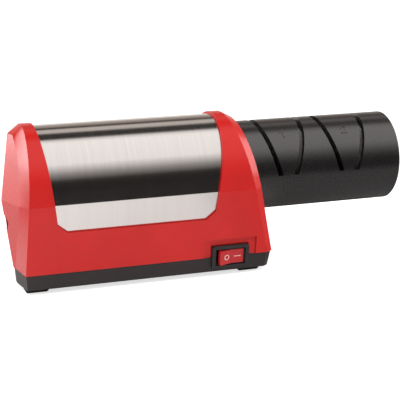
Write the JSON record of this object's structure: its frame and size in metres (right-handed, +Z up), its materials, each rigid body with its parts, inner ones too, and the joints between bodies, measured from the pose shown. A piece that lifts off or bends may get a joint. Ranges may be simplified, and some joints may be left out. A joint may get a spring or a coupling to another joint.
{
  "type": "electric knife sharpener",
  "caption": "Counter-top electric knife sharpener: motor unit with an arched steel cover, front rocker switch and a round plug-in cartridge with slanted blade slots.",
  "frame": {"origin": "centre of the overall box at table height, under the middle of the machine", "axes": "+X from the power inlet end to the cartridge end, +Z up; the switch faces -Y"},
  "size_m": [0.2302, 0.0664, 0.0917],
  "materials": {
    "red_plastic": "gloss, injection moulded",
    "black_plastic": "fine matte",
    "barrel_plastic": "semi-gloss black",
    "rocker_red": "gloss",
    "mark_white": "pale filled marks",
    "steel": "brushed across its length",
    "bright_steel": "bright ground steel",
    "zinc_steel": "zinc plated",
    "laminated_iron": "stacked iron",
    "ferrite": "sintered, dull",
    "copper": "enamelled copper wire",
    "brass": "plain",
    "carbon": "pressed carbon",
    "rubber": "soft, matte",
    "abrasive": "fine bonded grit",
    "wheel_plastic": "moulded, matte",
    "lead_red": "red insulation",
    "lead_black": "black insulation"
  },
  "bodies": {
    "motor_unit": {"housing_shell": "red_plastic", "base_shell": "black_plastic", "foot_front_left": "rubber", "foot_back_left": "rubber", "foot_front_right": "rubber", "foot_back_right": "rubber", "steel_cover": "steel", "socket_sleeve": "black_plastic", "sleeve_screws": "zinc_steel", "power_inlet": "black_plastic", "inlet_pin": "bright_steel", "switch_body": "black_plastic", "switch_terminals": "brass", "motor_cradle": "black_plastic", "motor_strap": "zinc_steel", "motor_can": "zinc_steel", "magnet_front": "ferrite", "magnet_back": "ferrite", "motor_end_bell": "black_plastic", "motor_terminals": "brass", "brush_front": "carbon", "brush_back": "carbon", "motor_bush_front": "brass", "motor_bush_rear": "brass", "base_screws": "zinc_steel", "cradle_screws": "zinc_steel", "strap_screws": "zinc_steel", "lead_inlet_switch": "lead_red", "lead_switch_motor": "lead_red", "lead_motor_return": "lead_black"},
    "rocker": {"rocker": "rocker_red", "rocker_marks": "mark_white"},
    "drive_line": {"motor_shaft": "bright_steel", "commutator": "copper", "armature_core": "laminated_iron", "armature_windings": "copper", "drive_dog": "black_plastic"},
    "cartridge": {"barrel_shell": "barrel_plastic", "end_cap": "barrel_plastic", "guide_insert_1": "barrel_plastic", "guide_insert_2": "barrel_plastic", "grip_ring": "rubber", "spindle_bush_left": "brass", "spindle_bush_right": "brass"},
    "dust_cover": {"dust_cover": "black_plastic"},
    "spindle": {"spindle_shaft": "bright_steel", "driven_dog": "black_plastic", "stop_sleeves": "zinc_steel", "retaining_rings": "zinc_steel", "spring_left": "bright_steel", "spring_middle": "bright_steel", "spring_right": "bright_steel"},
    "wheel_1_left": {"wheel_1_left": "wheel_plastic", "abrasive_1_left": "abrasive"},
    "wheel_1_right": {"wheel_1_right": "wheel_plastic", "abrasive_1_right": "abrasive"},
    "wheel_2_left": {"wheel_2_left": "wheel_plastic", "abrasive_2_left": "abrasive"},
    "wheel_2_right": {"wheel_2_right": "wheel_plastic", "abrasive_2_right": "abrasive"}
  },
  "joints": [
    {"name": "motor_spin", "type": "hinge", "parent": "motor_unit", "child": "drive_line", "pos_m": [-0.03775, 0, 0.059], "axis": [1, 0, 0], "continuous": true},
    {"name": "rocker_tilt", "type": "hinge", "parent": "motor_unit", "child": "rocker", "pos_m": [0.00875, -0.02217, 0.01202], "axis": [0, -0.2096, 0.9778], "range_deg": [-18, 0]},
    {"name": "cartridge_pull", "type": "slide", "parent": "motor_unit", "child": "cartridge", "axis": [1, 0, 0], "range_m": [0, 0.04]},
    {"name": "spindle_spin", "type": "hinge", "parent": "cartridge", "child": "spindle", "pos_m": [0.06125, 0, 0.059], "axis": [1, 0, 0], "continuous": true},
    {"name": "dust_cover_off", "type": "slide", "parent": "cartridge", "child": "dust_cover", "axis": [0, 0, -1], "range_m": [0, 0.018]},
    {"name": "wheel_1_left_give", "type": "slide", "parent": "spindle", "child": "wheel_1_left", "axis": [-1, 0, 0], "range_m": [0, 0.001], "stiffness_N_per_m": 500, "springref_m": -0.004, "deforming": ["spring_left"]},
    {"name": "wheel_1_right_give", "type": "slide", "parent": "spindle", "child": "wheel_1_right", "axis": [1, 0, 0], "range_m": [0, 0.001], "stiffness_N_per_m": 500, "springref_m": -0.004, "deforming": ["spring_middle"]},
    {"name": "wheel_2_left_give", "type": "slide", "parent": "spindle", "child": "wheel_2_left", "axis": [-1, 0, 0], "range_m": [0, 0.001], "stiffness_N_per_m": 500, "springref_m": -0.004, "deforming": ["spring_middle"]},
    {"name": "wheel_2_right_give", "type": "slide", "parent": "spindle", "child": "wheel_2_right", "axis": [1, 0, 0], "range_m": [0, 0.001], "stiffness_N_per_m": 500, "springref_m": -0.004, "deforming": ["spring_right"]}
  ],
  "couplings": [
    {"joint": "spindle_spin", "follows": "motor_spin", "ratio": 1}
  ]
}
